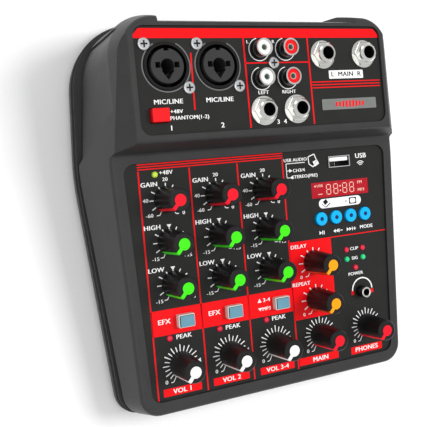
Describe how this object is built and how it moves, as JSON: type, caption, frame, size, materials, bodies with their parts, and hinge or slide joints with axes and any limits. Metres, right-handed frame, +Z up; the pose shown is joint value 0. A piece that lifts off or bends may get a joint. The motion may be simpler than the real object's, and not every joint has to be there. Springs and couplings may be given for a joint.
{
  "type": "mixing console",
  "caption": "Small desktop mixing console: sloped control surface with rotary controls and push buttons, raised rear deck with audio sockets.",
  "frame": {"origin": "on the table, under the middle of the case", "axes": "+X to the user's right, +Y away from the user towards the rear, +Z up"},
  "size_m": [0.1722, 0.195, 0.0682],
  "materials": {
    "case_plastic": "satin",
    "foot_rubber": "matte",
    "faceplate": "satin",
    "component_plastic": "matte",
    "led_red": "gloss",
    "display_red": "gloss",
    "socket_plastic": "satin",
    "core_plastic": "satin",
    "screw_steel": "satin",
    "nickel": "gloss",
    "white_plastic": "gloss",
    "red_plastic": "gloss",
    "usb_steel": "satin",
    "board_laminate": "satin",
    "knob_plastic": "satin",
    "pointer_red": "gloss",
    "pointer_green": "gloss",
    "pointer_white": "gloss",
    "pointer_amber": "gloss",
    "button_blue_grey": "satin",
    "button_blue": "gloss"
  },
  "bodies": {
    "case": {"top_shell": "case_plastic", "bottom_tray": "case_plastic", "rubber_feet": "foot_rubber", "lower_faceplate": "faceplate", "upper_faceplate": "faceplate", "potentiometers": "component_plastic", "leds": "led_red", "display_window": "display_red", "combo_housings": "socket_plastic", "combo_cores": "core_plastic", "screws": "screw_steel", "rca_shells": "nickel", "rca_inserts_white": "white_plastic", "rca_inserts_red": "red_plastic", "jack_bushes": "nickel", "jack_nuts": "nickel", "phones_jack": "socket_plastic", "usb_socket": "usb_steel", "power_inlet": "socket_plastic", "circuit_boards": "board_laminate"},
    "gain_1_knob": {"knob_gain_1": "knob_plastic", "pointer_gain_1": "pointer_red"},
    "gain_2_knob": {"knob_gain_2": "knob_plastic", "pointer_gain_2": "pointer_red"},
    "gain_3_knob": {"knob_gain_3": "knob_plastic", "pointer_gain_3": "pointer_red"},
    "high_1_knob": {"knob_high_1": "knob_plastic", "pointer_high_1": "pointer_green"},
    "high_2_knob": {"knob_high_2": "knob_plastic", "pointer_high_2": "pointer_green"},
    "high_3_knob": {"knob_high_3": "knob_plastic", "pointer_high_3": "pointer_green"},
    "low_1_knob": {"knob_low_1": "knob_plastic", "pointer_low_1": "pointer_green"},
    "low_2_knob": {"knob_low_2": "knob_plastic", "pointer_low_2": "pointer_green"},
    "low_3_knob": {"knob_low_3": "knob_plastic", "pointer_low_3": "pointer_green"},
    "volume_1_knob": {"knob_volume_1": "knob_plastic", "pointer_volume_1": "pointer_white"},
    "volume_2_knob": {"knob_volume_2": "knob_plastic", "pointer_volume_2": "pointer_white"},
    "volume_3_knob": {"knob_volume_3": "knob_plastic", "pointer_volume_3": "pointer_white"},
    "delay_knob": {"knob_delay": "knob_plastic", "pointer_delay": "pointer_amber"},
    "repeat_knob": {"knob_repeat": "knob_plastic", "pointer_repeat": "pointer_amber"},
    "main_knob": {"knob_main": "knob_plastic", "pointer_main": "pointer_red"},
    "phones_knob": {"knob_phones": "knob_plastic", "pointer_phones": "pointer_red"},
    "select_button_1": {"select_button_1": "button_blue_grey"},
    "select_button_2": {"select_button_2": "button_blue_grey"},
    "select_button_3": {"select_button_3": "button_blue_grey"},
    "phantom_button": {"phantom_button": "red_plastic"},
    "player_button_1": {"player_button_1": "button_blue"},
    "player_button_2": {"player_button_2": "button_blue"},
    "player_button_3": {"player_button_3": "button_blue"},
    "player_button_4": {"player_button_4": "button_blue"}
  },
  "joints": [
    {"name": "gain_1_turn", "type": "hinge", "parent": "case", "child": "gain_1_knob", "pos_m": [-0.0526, 0.00139, 0.04101], "axis": [0, 0.1392, -0.9903], "range_deg": [0, 280]},
    {"name": "gain_2_turn", "type": "hinge", "parent": "case", "child": "gain_2_knob", "pos_m": [-0.0269, 0.00139, 0.04101], "axis": [0, 0.1392, -0.9903], "range_deg": [0, 280]},
    {"name": "gain_3_turn", "type": "hinge", "parent": "case", "child": "gain_3_knob", "pos_m": [-0.0013, 0.00139, 0.04101], "axis": [0, 0.1392, -0.9903], "range_deg": [0, 280]},
    {"name": "high_1_turn", "type": "hinge", "parent": "case", "child": "high_1_knob", "pos_m": [-0.0526, -0.01812, 0.03827], "axis": [0, 0.1392, -0.9903], "range_deg": [0, 280]},
    {"name": "high_2_turn", "type": "hinge", "parent": "case", "child": "high_2_knob", "pos_m": [-0.0269, -0.01812, 0.03827], "axis": [0, 0.1392, -0.9903], "range_deg": [0, 280]},
    {"name": "high_3_turn", "type": "hinge", "parent": "case", "child": "high_3_knob", "pos_m": [-0.0013, -0.01812, 0.03827], "axis": [0, 0.1392, -0.9903], "range_deg": [0, 280]},
    {"name": "low_1_turn", "type": "hinge", "parent": "case", "child": "low_1_knob", "pos_m": [-0.0526, -0.03773, 0.03551], "axis": [0, 0.1392, -0.9903], "range_deg": [0, 280]},
    {"name": "low_2_turn", "type": "hinge", "parent": "case", "child": "low_2_knob", "pos_m": [-0.0269, -0.03773, 0.03551], "axis": [0, 0.1392, -0.9903], "range_deg": [0, 280]},
    {"name": "low_3_turn", "type": "hinge", "parent": "case", "child": "low_3_knob", "pos_m": [-0.0013, -0.03773, 0.03551], "axis": [0, 0.1392, -0.9903], "range_deg": [0, 280]},
    {"name": "volume_1_turn", "type": "hinge", "parent": "case", "child": "volume_1_knob", "pos_m": [-0.0526, -0.07536, 0.03023], "axis": [0, 0.1392, -0.9903], "range_deg": [0, 280]},
    {"name": "volume_2_turn", "type": "hinge", "parent": "case", "child": "volume_2_knob", "pos_m": [-0.0269, -0.07536, 0.03023], "axis": [0, 0.1392, -0.9903], "range_deg": [0, 280]},
    {"name": "volume_3_turn", "type": "hinge", "parent": "case", "child": "volume_3_knob", "pos_m": [-0.0013, -0.07536, 0.03023], "axis": [0, 0.1392, -0.9903], "range_deg": [0, 280]},
    {"name": "delay_turn", "type": "hinge", "parent": "case", "child": "delay_knob", "pos_m": [0.0242, -0.03792, 0.03549], "axis": [0, 0.1392, -0.9903], "range_deg": [0, 280]},
    {"name": "repeat_turn", "type": "hinge", "parent": "case", "child": "repeat_knob", "pos_m": [0.0242, -0.05694, 0.03281], "axis": [0, 0.1392, -0.9903], "range_deg": [0, 280]},
    {"name": "main_turn", "type": "hinge", "parent": "case", "child": "main_knob", "pos_m": [0.0247, -0.07536, 0.03023], "axis": [0, 0.1392, -0.9903], "range_deg": [0, 280]},
    {"name": "phones_turn", "type": "hinge", "parent": "case", "child": "phones_knob", "pos_m": [0.0537, -0.07536, 0.03023], "axis": [0, 0.1392, -0.9903], "range_deg": [0, 280]},
    {"name": "select_button_1_press", "type": "slide", "parent": "case", "child": "select_button_1", "axis": [0, 0.1392, -0.9903], "range_m": [0, 0.0018], "stiffness_N_per_m": 700},
    {"name": "select_button_2_press", "type": "slide", "parent": "case", "child": "select_button_2", "axis": [0, 0.1392, -0.9903], "range_m": [0, 0.0018], "stiffness_N_per_m": 700},
    {"name": "select_button_3_press", "type": "slide", "parent": "case", "child": "select_button_3", "axis": [0, 0.1392, -0.9903], "range_m": [0, 0.0018], "stiffness_N_per_m": 700},
    {"name": "phantom_button_press", "type": "slide", "parent": "case", "child": "phantom_button", "axis": [0, 0.1184, -0.993], "range_m": [0, 0.0018], "stiffness_N_per_m": 700},
    {"name": "player_button_1_press", "type": "slide", "parent": "case", "child": "player_button_1", "axis": [0, 0.1392, -0.9903], "range_m": [0, 0.0006], "stiffness_N_per_m": 1500},
    {"name": "player_button_2_press", "type": "slide", "parent": "case", "child": "player_button_2", "axis": [0, 0.1392, -0.9903], "range_m": [0, 0.0006], "stiffness_N_per_m": 1500},
    {"name": "player_button_3_press", "type": "slide", "parent": "case", "child": "player_button_3", "axis": [0, 0.1392, -0.9903], "range_m": [0, 0.0006], "stiffness_N_per_m": 1500},
    {"name": "player_button_4_press", "type": "slide", "parent": "case", "child": "player_button_4", "axis": [0, 0.1392, -0.9903], "range_m": [0, 0.0006], "stiffness_N_per_m": 1500}
  ]
}
